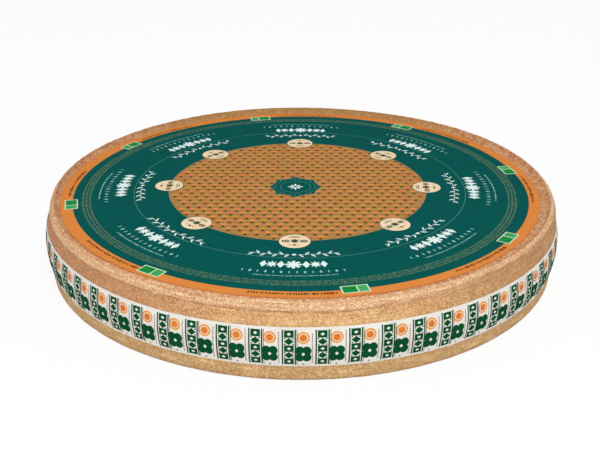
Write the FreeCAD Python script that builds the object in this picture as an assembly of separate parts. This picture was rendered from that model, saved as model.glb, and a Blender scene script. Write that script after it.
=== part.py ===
"""A whole wheel of hard mountain cheese, with a round paper label on top and a paper band round its side.

Millimetres, +Z up. The origin is the centre of the wheel's underside, so the wheel stands on Z = 0.
The wheel is lofted through closed rings: from the edge of its underside, up its side, over its rim
and down to the flat floor that the label lies on. Every ring shares one uneven outline. The band
follows the same outline a glue line further out, and the label is sized from the same floor.
"""
import FreeCAD
import Part
import math
import os

# Wheel
WHEEL_RADIUS = 339.8        # mean radius of the side, at the lower edge of the band
FLOOR_HEIGHT = 92.5         # height of the flat top that the label lies on
SIDE_LEAN = 3.2             # how much further in the side stands at the press line
SIDE_BULGE = 5.7            # how far the side swells outwards, half way up from the band's lower edge
BASE_ROUND = 4.5            # rounding of the lower edge
BASE_TAPER = 0.5            # how far the side leans inwards below the band

# Rim round the top
RIM_RISE = 6.5              # mean height of the rim's ridge above the floor
RIM_ROUND = 7.5             # how far the rim's outside rounds inwards, from the side to the ridge
RIM_SLOPE = 4.0             # width of the rim's inner slope, from the ridge to the floor
SLOPE_SAG = 0.35            # height of the inner slope at mid-width, as a share of the ridge's
CREASE_DROP = 8.0           # from the floor's level down to the press line under the rim
CREASE_DEPTH = 1.4          # how far the press line bites into the side
CREASE_HEIGHT = 3.0         # height of the press line from lip to lip

# Unevenness of a wheel that was pressed and turned by hand
OUTLINE_WANDER = 1.0        # how far the outline strays from a circle
RIM_TILT = 2.0              # how much higher the rim stands at the back than on average
RIM_WANDER = 0.7            # small ups and downs of the ridge

# Label on the top
LABEL_THICKNESS = 0.8
LABEL_MARGIN = 1.8          # bare floor left between the label and the toe of the rim, at its narrowest
LABEL_SHIFT = -2.0          # the label was laid this far off centre, along X

# Band round the side
BAND_DROP = 13.5            # from the press line's lower lip down to the band's upper edge
BAND_WIDTH = 49.0
BAND_THICKNESS = 0.8
BAND_LAP = 24.0             # how far its end laps over its start, at the back
BAND_STEP = 16.0            # length along which the end steps up onto the start
GLUE_LINE = 0.15            # between the wheel's side and the band, and under the lap

# Fineness of the curves
OUTLINE_POINTS = 32         # points on each ring, which a smooth closed curve joins
CORNER_STEPS = 6            # rings that round the rim or the lower edge
BAND_STEPS = 6              # straight steps up the side that follow its bulge behind the band
LAP_POINTS = 6              # points along the band's step, and along its lap


def outline_radius(radius, angle):
    """The wheel's radius at an angle: only even waves, so that the outline stays centred."""
    wave = 0.65 * math.cos(2 * angle + 2.2) + 0.35 * math.cos(4 * angle + 0.9)
    return radius + OUTLINE_WANDER * wave


def rim_lift(angle):
    """How far the rim's ridge stands above its mean height at an angle."""
    small = 0.6 * math.sin(3 * angle + 0.5) + 0.4 * math.sin(5 * angle - 1.1)
    return RIM_TILT * math.sin(angle) + RIM_WANDER * small


def crease_foot():
    """Height of the press line's lower lip, where the side ends."""
    return FLOOR_HEIGHT - CREASE_DROP - CREASE_HEIGHT / 2


def band_bottom():
    """Height of the band's lower edge."""
    return crease_foot() - BAND_DROP - BAND_WIDTH


def side_radius(height):
    """Mean radius of the side at a height between the band's lower edge and the press line."""
    share = (height - band_bottom()) / (crease_foot() - band_bottom())
    return WHEEL_RADIUS - SIDE_LEAN * share + 4 * SIDE_BULGE * share * (1 - share)


def band_heights():
    """Heights up the band at which the side and the band have their rings."""
    return [band_bottom() + BAND_WIDTH * step / BAND_STEPS for step in range(BAND_STEPS + 1)]


def ridge_radius():
    """Mean radius of the rim's ridge."""
    return WHEEL_RADIUS - SIDE_LEAN - RIM_ROUND


def floor_radius():
    """Radius of the flat floor inside the rim."""
    return ridge_radius() - RIM_SLOPE


def ring(radius, height, lift_share=0.0):
    """A smooth closed wire round the wheel; lift_share of the rim's lift is added to its height."""
    points = []
    for step in range(OUTLINE_POINTS):
        angle = 2 * math.pi * step / OUTLINE_POINTS
        reach = outline_radius(radius, angle)
        rise = height + lift_share * rim_lift(angle)
        points.append(FreeCAD.Vector(reach * math.cos(angle), reach * math.sin(angle), rise))
    curve = Part.BSplineCurve()
    curve.interpolate(Points=points, PeriodicFlag=True)
    return Part.Wire([curve.toShape()])


def lower_edge():
    """Rings that round the lower edge, from the underside out to the side."""
    rings = []
    for step in range(CORNER_STEPS + 1):
        turn = 0.5 * math.pi * step / CORNER_STEPS
        inset = BASE_TAPER + BASE_ROUND * (1 - math.sin(turn))
        rings.append(ring(WHEEL_RADIUS - inset, BASE_ROUND * (1 - math.cos(turn))))
    return rings


def side():
    """Rings of the bulging side: the seat of the band, then the press line under the rim."""
    above_band = crease_foot() - BAND_DROP / 2
    heights = band_heights() + [above_band, crease_foot()]
    rings = [ring(side_radius(height), height) for height in heights]
    rings.append(ring(side_radius(crease_foot()) - CREASE_DEPTH, FLOOR_HEIGHT - CREASE_DROP))
    return rings


def rim():
    """Rings of the raised rim, from the press line over the ridge to its toe on the floor."""
    foot = FLOOR_HEIGHT - CREASE_DROP + CREASE_HEIGHT / 2
    ridge_height = FLOOR_HEIGHT + RIM_RISE
    rings = []
    for step in range(CORNER_STEPS + 1):
        turn = 0.5 * math.pi * step / CORNER_STEPS
        share = math.sin(turn)
        radius = ridge_radius() + RIM_ROUND * math.cos(turn)
        rings.append(ring(radius, foot + (ridge_height - foot) * share, share))
    rings.append(ring(ridge_radius() - RIM_SLOPE / 2, FLOOR_HEIGHT + RIM_RISE * SLOPE_SAG, SLOPE_SAG))
    rings.append(ring(floor_radius(), FLOOR_HEIGHT))
    return rings


def wheel():
    """The cheese: one solid, with a flat underside, a bulging side and a raised rim."""
    rings = lower_edge() + side() + rim()
    return Part.makeLoft(rings, True, True)


def label():
    """The round paper label, flat on the floor inside the rim."""
    radius = floor_radius() - OUTLINE_WANDER - LABEL_MARGIN - abs(LABEL_SHIFT)
    centre = FreeCAD.Vector(LABEL_SHIFT, 0, FLOOR_HEIGHT)
    return Part.makeCylinder(radius, LABEL_THICKNESS, centre)


def band_turns():
    """Angles along the band and how far each point has stepped outwards, as a share of one step."""
    lap = BAND_LAP / WHEEL_RADIUS
    rise = BAND_STEP / WHEEL_RADIUS
    start = 0.5 * math.pi - 0.5 * lap
    plain = 2 * math.pi - rise
    turns = []
    for step in range(2 * OUTLINE_POINTS):
        turns.append((start + plain * step / (2 * OUTLINE_POINTS), 0.0))
    for step in range(LAP_POINTS):
        share = step / (LAP_POINTS - 1)
        turns.append((start + plain + rise * share, 0.5 - 0.5 * math.cos(math.pi * share)))
    for step in range(1, LAP_POINTS):
        turns.append((start + plain + rise + lap * step / (LAP_POINTS - 1), 1.0))
    return turns


def band_outline(radius, height):
    """The closed outline of the band's paper seen from above, at one height."""
    faces = []
    for depth in (GLUE_LINE, GLUE_LINE + BAND_THICKNESS):
        points = []
        for angle, stepped in band_turns():
            reach = outline_radius(radius, angle) + depth + stepped * (BAND_THICKNESS + GLUE_LINE)
            points.append(FreeCAD.Vector(reach * math.cos(angle), reach * math.sin(angle), height))
        curve = Part.BSplineCurve()
        curve.interpolate(points)
        faces.append((curve.toShape(), points[0], points[-1]))
    inner, outer = faces
    end = Part.makeLine(inner[2], outer[2])
    start = Part.makeLine(outer[1], inner[1])
    return Part.Wire([inner[0], end, outer[0], start])


def band():
    """The paper band: one strip round the side, whose end laps over its start at the back."""
    outlines = [band_outline(side_radius(height), height) for height in band_heights()]
    return Part.makeLoft(outlines, True, True)


def export(name, shape):
    """Writes one piece and prints what it measures."""
    litres = shape.Volume / 1e6
    print("%s: %d solid, valid %s, %.3f litres" % (name, len(shape.Solids), shape.isValid(), litres))
    shape.exportStep("parts/%s.step" % name)


os.makedirs("parts", exist_ok=True)
export("wheel", wheel())
export("top_label", label())
export("side_band", band())
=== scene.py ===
"""A whole wheel of hard mountain cheese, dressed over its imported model.

The rind is modelled anew over the plain wheel, with the rough collar, the press line under it and the
weave of the pressing cloth. The round label and the paper band are built up as paper and layers of
print, all of it plain ornament. Everything is in metres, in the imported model's own frame.
"""
import logging
import math
import random
from collections.abc import Callable
from dataclasses import dataclass, field
from enum import Enum
from functools import cache, partial

import bmesh
import bpy
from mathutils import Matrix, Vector, noise


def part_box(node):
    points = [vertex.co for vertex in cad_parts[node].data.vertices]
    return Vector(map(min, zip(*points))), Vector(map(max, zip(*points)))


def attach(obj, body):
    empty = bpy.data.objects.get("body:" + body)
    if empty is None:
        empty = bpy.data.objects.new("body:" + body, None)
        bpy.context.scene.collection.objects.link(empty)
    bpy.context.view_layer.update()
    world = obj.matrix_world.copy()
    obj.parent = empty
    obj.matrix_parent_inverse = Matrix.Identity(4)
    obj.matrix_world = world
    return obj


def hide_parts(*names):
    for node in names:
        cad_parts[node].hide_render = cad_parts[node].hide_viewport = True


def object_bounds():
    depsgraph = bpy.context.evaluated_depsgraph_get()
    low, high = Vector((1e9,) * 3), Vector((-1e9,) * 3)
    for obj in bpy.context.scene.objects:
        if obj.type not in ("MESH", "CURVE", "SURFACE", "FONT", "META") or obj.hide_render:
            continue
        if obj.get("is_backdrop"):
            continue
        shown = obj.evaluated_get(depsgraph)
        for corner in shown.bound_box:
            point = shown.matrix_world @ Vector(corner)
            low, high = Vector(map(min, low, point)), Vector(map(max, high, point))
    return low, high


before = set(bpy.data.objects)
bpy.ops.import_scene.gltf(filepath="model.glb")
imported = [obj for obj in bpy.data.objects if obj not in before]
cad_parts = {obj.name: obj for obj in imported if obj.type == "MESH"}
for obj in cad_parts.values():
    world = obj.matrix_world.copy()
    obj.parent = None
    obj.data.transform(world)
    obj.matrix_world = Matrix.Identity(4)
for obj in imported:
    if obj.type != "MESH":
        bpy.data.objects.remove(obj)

LOG = logging.getLogger("cheese_wheel")
MM = 0.001
FULL_TURN = 2 * math.pi
QUARTER_TURN = 0.5 * math.pi
THREADS = "threads"
CAD_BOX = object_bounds()

Colour = tuple[float, float, float, float]
Flat = tuple[float, float]
Point = tuple[float, float, float]
Spot = Callable[[float, float, float], Point]
Piece = bpy.types.Object
Socket = bpy.types.NodeSocket

WHITE: Colour = (1.0, 1.0, 1.0, 1.0)


def tint(red: int, green: int, blue: int) -> Colour:
    """Turns a screen colour into the linear colour that a material holds.

    Args:
        red: Red, from 0 to 255.
        green: Green, from 0 to 255.
        blue: Blue, from 0 to 255.

    Returns:
        The linear colour, opaque.
    """
    parts = []
    for part in (red, green, blue):
        share = part / 255
        parts.append(share / 12.92 if share <= 0.04045 else ((share + 0.055) / 1.055) ** 2.4)
    return (parts[0], parts[1], parts[2], 1.0)


def smooth_share(value: float, low: float, high: float) -> float:
    """Returns 0 below low and 1 above high, with a soft step between them."""
    share = min(1.0, max(0.0, (value - low) / (high - low)))
    return share * share * (3 - 2 * share)


def hump(value: float, middle: float, half_width: float) -> float:
    """Returns a soft hump that is 1 at its middle and falls to a third at half_width from it."""
    return math.exp(-(((value - middle) / half_width) ** 2))


def ripple(angle: float, pace: float, seed: float) -> float:
    """Returns a noise from -1 to 1 that varies round the wheel, faster at a larger pace."""
    return noise.noise(Vector((pace * math.cos(angle), pace * math.sin(angle), seed)))


def turned(x: float, y: float, angle: float) -> Flat:
    """Returns a place turned about the origin."""
    cosine, sine = math.cos(angle), math.sin(angle)
    return (x * cosine - y * sine, x * sine + y * cosine)


def quarter(steps: int) -> list[Flat]:
    """Returns the cosine and the sine at even steps of a quarter turn."""
    turns = [QUARTER_TURN * step / steps for step in range(steps + 1)]
    return [(math.cos(turn), math.sin(turn)) for turn in turns]


# ---- The bench: selection, edit mode and the small operations that every piece needs


class Bench:
    """The modelling tools, used on one object at a time."""

    @staticmethod
    def clear() -> None:
        """Deselects everything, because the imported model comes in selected."""
        if bpy.context.object and bpy.context.object.mode != "OBJECT":
            bpy.ops.object.mode_set(mode="OBJECT")
        bpy.ops.object.select_all(action="DESELECT")

    @staticmethod
    def circle(corners: int, radius: float, filling: str = "TRIFAN", place: Point = (0.0, 0.0, 0.0)) -> Piece:
        """Adds a flat disc, with the object's origin left at the wheel's.

        Args:
            corners: How many corners its edge has.
            radius: Its radius.
            filling: TRIFAN or NGON.
            place: Its centre.

        Returns:
            The new object.
        """
        Bench.clear()
        bpy.ops.mesh.primitive_circle_add(vertices=corners, radius=radius, fill_type=filling, location=place)
        bpy.ops.object.transform_apply(location=True, rotation=True, scale=True)
        return bpy.context.object

    @staticmethod
    def grid(columns: int, rows: int, size: float) -> Piece:
        """Adds a flat square grid.

        Args:
            columns: How many cells it has along X.
            rows: How many cells it has along Y.
            size: The length of its sides.

        Returns:
            The new object.
        """
        Bench.clear()
        bpy.ops.mesh.primitive_grid_add(x_subdivisions=columns, y_subdivisions=rows, size=size)
        return bpy.context.object

    @staticmethod
    def edit(piece: Piece) -> None:
        """Opens one object in edit mode, as the only selected one and with nothing selected in it.

        Args:
            piece: The object.
        """
        Bench.clear()
        piece.select_set(True)
        bpy.context.view_layer.objects.active = piece
        bpy.ops.object.mode_set(mode="EDIT")
        bpy.ops.mesh.select_all(action="DESELECT")

    @staticmethod
    def choose(piece: Piece, wanted: Callable[[Vector], bool], mode: str = "VERT") -> None:
        """Selects, in edit mode, what lies wholly at wanted places.

        Args:
            piece: The object in edit mode.
            wanted: Says of a vertex's place whether it counts.
            mode: VERT, EDGE or FACE.
        """
        bpy.ops.mesh.select_mode(type=mode)
        shape = bmesh.from_edit_mesh(piece.data)
        for vertex in shape.verts:
            vertex.select = False
        groups = {"VERT": shape.verts, "EDGE": shape.edges, "FACE": shape.faces}
        for part in groups[mode]:
            corners = [part] if mode == "VERT" else part.verts
            part.select_set(all(wanted(corner.co) for corner in corners))
        bmesh.update_edit_mesh(piece.data)

    @staticmethod
    def resize(wide: float, tall: float, height: float = 0.0) -> None:
        """Scales what is selected along X and Y, about the wheel's axis at a height."""
        bpy.ops.transform.resize(value=(wide, tall, 1), center_override=(0, 0, height))

    @staticmethod
    def thicken(height: float) -> None:
        """Extrudes everything upwards."""
        bpy.ops.mesh.select_all(action="SELECT")
        bpy.ops.mesh.extrude_region_move(TRANSFORM_OT_translate={"value": (0, 0, height)})

    @staticmethod
    def close() -> None:
        """Merges doubles, turns every face outwards and leaves edit mode."""
        bpy.ops.mesh.select_mode(type="VERT")
        bpy.ops.mesh.select_all(action="SELECT")
        bpy.ops.mesh.remove_doubles(threshold=0.2e-6)
        bpy.ops.mesh.normals_make_consistent(inside=False)
        bpy.ops.object.mode_set(mode="OBJECT")

    @staticmethod
    def shade(degrees: float = 35.0) -> None:
        """Shades the object smooth across edges that turn less than this angle."""
        bpy.ops.object.shade_smooth_by_angle(angle=math.radians(degrees))


# ---- Materials


@dataclass(frozen=True)
class Lumps:
    """A soft noise: the size of a lump, how many finer layers it has, and how strong those are.

    A stretched noise is read from the count of the cloth's threads round the wheel and up its side.
    """

    size: float
    detail: float = 3.0
    roughness: float = 0.55
    stretch: Flat | None = None


@dataclass(frozen=True)
class Ramp:
    """A soft step, from nothing at its start to its top at its end; the start may be the larger."""

    start: float
    end: float
    top: float = 1.0


class Wiring:
    """A node tree while it is being wired."""

    def __init__(self, tree: bpy.types.NodeTree) -> None:
        """Starts with an emptied tree."""
        self.tree = tree
        self.tree.nodes.clear()

    def feed(self, target: Socket, value: object) -> None:
        """Links a socket to an input, or writes a plain value on it.

        Args:
            target: The input.
            value: The socket or the value.
        """
        if isinstance(value, Socket):
            self.tree.links.new(value, target)
        else:
            target.default_value = value

    def node(
        self, kind: str, result: str | int, inputs: dict[str | int, object] | None = None, **settings: object
    ) -> Socket:
        """Adds one node.

        Args:
            kind: The node's type, without its prefix.
            result: Which of its outputs is wanted.
            inputs: A value or a socket for each input that isn't left alone.
            settings: The node's own settings.

        Returns:
            The wanted output.
        """
        node = self.tree.nodes.new("ShaderNode" + kind)
        for name, value in settings.items():
            setattr(node, name, value)
        for name, value in (inputs or {}).items():
            self.feed(node.inputs[name], value)
        return node.outputs[result]

    def sum(self, operation: str, first: object, second: object = 0.0, clamp: bool = False) -> Socket:
        """Returns the result of one arithmetic operation, kept between 0 and 1 if clamp is set."""
        return self.node("Math", 0, {0: first, 1: second}, operation=operation, use_clamp=clamp)

    def times(self, first: object, second: object) -> Socket:
        """Returns the product of two values."""
        return self.sum("MULTIPLY", first, second)


class Recipe(Wiring):
    """A material's node tree while it is being wired."""

    def __init__(self, name: str) -> None:
        """Starts a material that has a shader and an output.

        Args:
            name: The material's name.
        """
        self.material = bpy.data.materials.new(name)
        self.material.use_nodes = True
        super().__init__(self.material.node_tree)
        self.output = self.tree.nodes.new("ShaderNodeOutputMaterial")
        self.shader = self.tree.nodes.new("ShaderNodeBsdfPrincipled")
        self.feed(self.output.inputs["Surface"], self.shader.outputs["BSDF"])

    def threads(self) -> Socket:
        """Returns the count of the cloth's threads, round the wheel and up its side."""
        return self.node("UVMap", "UV", uv_map=THREADS)

    def mask(self, name: str, top: float = 1.0) -> Socket:
        """Returns one of the piece's own painted shares, scaled so that its most is top."""
        share = self.node("Attribute", "Fac", attribute_name=name)
        return share if top == 1.0 else self.times(share, top)

    def clouds(self, lumps: Lumps) -> Socket:
        """Reads a soft noise.

        Args:
            lumps: What the noise is like.

        Returns:
            The noise, about 0.5 on average.
        """
        place = self.node("TexCoord", "Object")
        if lumps.stretch:
            scale = (*lumps.stretch, 1.0)
            place = self.node("Mapping", "Vector", {"Scale": scale, "Vector": self.threads()})
        inputs = {"Scale": 1 / lumps.size, "Detail": lumps.detail, "Roughness": lumps.roughness}
        return self.node("TexNoise", "Fac", {**inputs, "Vector": place})

    def step(self, value: Socket, ramp: Ramp) -> Socket:
        """Returns a value taken up a ramp."""
        inputs = {"Value": value, "From Min": ramp.start, "From Max": ramp.end, "To Max": ramp.top}
        return self.node("MapRange", "Result", inputs, interpolation_type="SMOOTHSTEP")

    def coat(self, colour: object, *coats: tuple[object, ...]) -> Socket:
        """Lays coats of colour over each other.

        Args:
            colour: The colour that they lie on.
            coats: For each how much of it shows, its colour and, unless it is plain, its blending mode.

        Returns:
            The colour that shows.
        """
        for share, over, *how in coats:
            inputs = {"Factor": share, "A": colour, "B": over}
            colour = self.node("Mix", "Result", inputs, data_type="RGBA", blend_type=how[0] if how else "MIX")
        return colour

    def bump(self, height: Socket, depth: float, under: Socket | None = None) -> Socket:
        """Adds fine relief to the surface's direction.

        Args:
            height: The relief, from 0 to 1.
            depth: How deep it is, in metres.
            under: A coarser relief's result that this one lies on.

        Returns:
            The direction.
        """
        inputs = {"Strength": 1.0, "Distance": depth, "Height": height}
        if under is not None:
            inputs["Normal"] = under
        return self.node("Bump", "Normal", inputs)

    def finish(self, colour: object, normal: Socket, roughness: float, gloss: float) -> bpy.types.Material:
        """Wires the shader.

        Args:
            colour: The surface's colour.
            normal: The surface's direction.
            roughness: How matt it is.
            gloss: The shader's specular level.

        Returns:
            The finished material.
        """
        inputs = {"Base Color": colour, "Normal": normal, "Roughness": roughness, "Specular IOR Level": gloss}
        for name, value in inputs.items():
            self.feed(self.shader.inputs[name], value)
        return self.material


@dataclass(frozen=True)
class PaperFinish:
    """Printed or bare paper: one colour, slightly mottled, with a fibre grain."""

    name: str
    colour: Colour
    cloud_colour: Colour
    mottle: float = 0.35
    slot: str = "label_paper"
    clouds: Lumps = Lumps(18 * MM, 4.0)
    fibres: Lumps = Lumps(1.3 * MM, 3.0, 0.6)
    fibre_depth: float = 0.05 * MM
    roughness: float = 0.82
    gloss: float = 0.015

    def material(self) -> bpy.types.Material:
        """Wires the paper.

        Returns:
            Its material.
        """
        recipe = Recipe(self.name)
        clouds = recipe.step(recipe.clouds(self.clouds), Ramp(0.35, 0.7, self.mottle))
        colour = recipe.coat(self.colour, (clouds, self.cloud_colour))
        normal = recipe.bump(recipe.clouds(self.fibres), self.fibre_depth)
        return recipe.finish(colour, normal, self.roughness, self.gloss)


def label_ink(name: str, colour: Colour, cloud: Colour | None = None) -> PaperFinish:
    """Returns an ink of the label, mottled towards a second colour if one is given."""
    return PaperFinish(name, colour, cloud or colour, 0.6 if cloud else 0.0)


def band_ink(name: str, colour: Colour, cloud: Colour, mottle: float) -> PaperFinish:
    """Returns an ink of the band, mottled towards a second colour."""
    return PaperFinish(name, colour, cloud, mottle, "band_paper")


@dataclass(frozen=True)
class RindFinish:
    """The natural rind: tan cloth-pressed side, pinkish rough collar, paler at its edge with a painted
    highlight along its lower lip, soft press line that is partly painted shade.

    Each noise is followed by the ramps that turn it into shares of colour.
    """

    name: str = "natural_rind"
    slot: str = "rind"
    tan: Colour = tint(220, 172, 108)
    deep_tan: Colour = tint(198, 146, 86)
    straw: Colour = tint(236, 202, 146)
    olive_tan: Colour = tint(158, 124, 66)
    # Multiplied over the left side: partly a redder rind, partly painted shade where the light falls off away
    # from the front
    left_redness_and_shade: Colour = tint(226, 192, 166)
    # Multiplied over the right side: painted shade, where the light falls off away from the front
    right_side_shade: Colour = tint(224, 206, 184)
    speckle: Colour = tint(146, 98, 56)
    russet: Colour = tint(178, 110, 64)
    collar: Colour = tint(238, 206, 162)
    pink: Colour = tint(226, 176, 138)
    rust_pink: Colour = tint(214, 158, 122)
    brown: Colour = tint(194, 168, 110)
    # Pale flakes on the collar, also laid as painted highlight on the collar's lower lip and on the raised
    # tops of the relief
    pale_flake_and_highlight: Colour = tint(253, 232, 200)
    # The press line's brown, partly rind colour and partly painted shade in its shallow groove
    crease: Colour = tint(176, 116, 76)
    foot: Colour = tint(150, 104, 62)
    # Multiplied into the sunk parts of the weave and grain: painted shade in the hollows of the relief
    pit_shade: Colour = tint(204, 172, 138)
    patches: Lumps = Lumps(22 * MM, 5.0, 0.65)
    patchy: Ramp = Ramp(0.36, 0.66)
    wide_streaks: Lumps = Lumps(1.0, 5.0, 0.7, (0.03, 0.22))
    light_streak: Ramp = Ramp(0.48, 0.66, 0.6)
    dark_streak: Ramp = Ramp(0.46, 0.30, 0.5)
    fine_streaks: Lumps = Lumps(1.0, 4.0, 0.65, (0.03, 0.5))
    red_streak: Ramp = Ramp(0.46, 0.62)
    mottle: Lumps = Lumps(4.5 * MM, 4.0, 0.7)
    dark_mottle: Ramp = Ramp(0.50, 0.60, 0.8)
    light_mottle: Ramp = Ramp(0.47, 0.37, 0.5)
    specks: Lumps = Lumps(4.4 * MM, 3.0, 0.6)
    speckled: Ramp = Ramp(0.50, 0.57, 0.55)
    collar_streaks: Lumps = Lumps(1.0, 5.0, 0.7, (0.04, 0.55))
    collar_streaky: Ramp = Ramp(0.34, 0.60)
    # The painted highlight along the collar's lower lip, broken by the collar's streaks
    lip_highlight: Ramp = Ramp(0.0, 0.7, 0.62)
    collar_lines: Lumps = Lumps(1.0, 3.0, 0.6, (0.018, 0.34))
    red_line: Ramp = Ramp(0.54, 0.62, 0.75)
    light_line: Ramp = Ramp(0.46, 0.38, 0.8)
    slope_patches: Lumps = Lumps(14 * MM, 5.0, 0.65)
    slope_patchy: Ramp = Ramp(0.40, 0.60)
    flakes: Lumps = Lumps(4.2 * MM, 4.0, 0.65)
    flaky: Ramp = Ramp(0.50, 0.62, 0.75)
    breaks: Lumps = Lumps(16 * MM, 3.0, 0.6)
    broken: Ramp = Ramp(0.34, 0.58, 0.9)
    grain: Lumps = Lumps(1.8 * MM, 3.0, 0.7)
    grain_depth: float = 0.1 * MM
    grain_shade: float = 0.8
    weave_depth: float = 0.24 * MM
    weave_shade: float = 0.34
    # Where the relief is sunk: painted shade
    sunk: Ramp = Ramp(0.56, 0.36, 0.95)
    # Where the relief stands up: partly pale flakes, partly painted highlight
    raised: Ramp = Ramp(0.56, 0.76, 0.6)
    sway: Lumps = Lumps(9 * MM, 2.0)
    sway_threads: float = 2.4
    low_share: float = 0.7
    under_share: float = 0.75
    foot_share: float = 0.75
    aged_share: float = 0.7
    roughness: float = 0.8
    gloss: float = 0.14

    def material(self) -> bpy.types.Material:
        """Wires the rind.

        Returns:
            Its material.
        """
        recipe = Recipe(self.name)
        grain = recipe.clouds(self.grain)
        weave = recipe.times(self._weave(recipe), recipe.mask("weave"))
        normal = recipe.bump(weave, self.weave_depth, recipe.bump(grain, self.grain_depth))
        shades = (recipe.times(weave, self.weave_shade), recipe.times(grain, self.grain_shade))
        depth = recipe.sum("ADD", *shades)
        colour = recipe.coat(
            self._collar_colour(recipe, self._side_colour(recipe)),
            # Painted shade in the hollows of the weave and grain
            (recipe.step(depth, self.sunk), self.pit_shade, "MULTIPLY"),
            # The raised tops of the relief: partly pale flakes, partly painted highlight
            (recipe.step(depth, self.raised), self.pale_flake_and_highlight),
        )
        return recipe.finish(colour, normal, self.roughness, self.gloss)

    def _weave(self, recipe: Recipe) -> Socket:
        """Wires the print of the cloth.

        Args:
            recipe: The material.

        Returns:
            A height from 0 to 1, with one hump where each thread crosses over another.
        """
        threads = recipe.threads()
        sway = recipe.times(recipe.clouds(self.sway), self.sway_threads)
        waves = []
        for axis in "XY":
            count = recipe.sum("ADD", recipe.node("SeparateXYZ", axis, {0: threads}), sway)
            waves.append(recipe.sum("SINE", recipe.times(count, math.pi)))
        return recipe.sum("ADD", recipe.times(recipe.times(*waves), 0.5), 0.5)

    def _side_colour(self, recipe: Recipe) -> Socket:
        """Wires the cloth-pressed side: redder and with painted shade on the left, painted shade on the
        right, russet under the press line.

        Args:
            recipe: The material.

        Returns:
            The side's colour.
        """
        patches = recipe.step(recipe.clouds(self.patches), self.patchy)
        wide = recipe.clouds(self.wide_streaks)
        streaks = recipe.step(recipe.clouds(self.fine_streaks), self.red_streak)
        mottle = recipe.clouds(self.mottle)
        specks = recipe.step(recipe.clouds(self.specks), self.speckled)
        sides = recipe.sum("ADD", recipe.mask("left_redness_and_shade"), recipe.mask("right_side_shade"), clamp=True)
        return recipe.coat(
            self.deep_tan,
            (patches, self.tan),
            (recipe.mask("low", self.low_share), self.olive_tan),
            (recipe.step(wide, self.light_streak), self.straw),
            (recipe.step(wide, self.dark_streak), self.deep_tan),
            (recipe.times(streaks, recipe.mask("under", self.under_share)), self.russet),
            (recipe.step(mottle, self.dark_mottle), self.deep_tan),
            (recipe.step(mottle, self.light_mottle), self.straw),
            # The left side made redder and darker: partly rind colour, partly painted shade
            (recipe.mask("left_redness_and_shade"), self.left_redness_and_shade, "MULTIPLY"),
            # Painted shade on the right side
            (recipe.mask("right_side_shade"), self.right_side_shade, "MULTIPLY"),
            (recipe.times(specks, sides), self.speckle),
            (recipe.mask("foot", self.foot_share), self.foot),
        )

    def _collar_colour(self, recipe: Recipe, side: Socket) -> Socket:
        """Lays the collar, its pink inner slope, a painted highlight on its lower lip and the press line,
        partly painted shade, over the side.

        Args:
            recipe: The material.
            side: The side's colour.

        Returns:
            The colour of the whole rind.
        """
        streaks = recipe.step(recipe.clouds(self.collar_streaks), self.collar_streaky)
        lines = recipe.clouds(self.collar_lines)
        patches = recipe.step(recipe.clouds(self.slope_patches), self.slope_patchy)
        flakes = recipe.step(recipe.clouds(self.flakes), self.flaky)
        broken = recipe.step(recipe.clouds(self.breaks), self.broken)
        pale_pink = recipe.coat(self.pink, (0.5, self.collar))
        slope = recipe.coat(self.rust_pink, (patches, pale_pink), (flakes, self.pale_flake_and_highlight))
        collar = recipe.coat(
            self.pink,
            (streaks, self.collar),
            (recipe.step(lines, self.red_line), self.rust_pink),
            (recipe.step(lines, self.light_line), self.pale_flake_and_highlight),
            (recipe.mask("slope"), slope),
            (recipe.mask("aged", self.aged_share), self.brown),
            # Painted highlight along the collar's lower lip
            (recipe.times(recipe.mask("lip"), recipe.step(streaks, self.lip_highlight)), self.pale_flake_and_highlight),
        )
        # The press line, broken: partly its own brown, partly painted shade of the groove
        crease = recipe.times(recipe.mask("crease"), broken)
        return recipe.coat(side, (recipe.mask("collar"), collar), (crease, self.crease))


def deliver(piece: Piece, name: str, finish: PaperFinish | RindFinish) -> Piece:
    """Names and dresses a finished piece, and fixes it to the wheel.

    Args:
        piece: The finished object, at the origin and unscaled.
        name: The piece's name.
        finish: Its finish.

    Returns:
        The same object.
    """
    piece.name = piece.data.name = name
    piece.data.materials.clear()
    piece.data.materials.append(finish.material())
    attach(piece, "root")
    LOG.info("%s: %d faces", name, len(piece.data.polygons))
    return piece


# ---- The wheel's shape, which the rind and the band share


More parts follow.
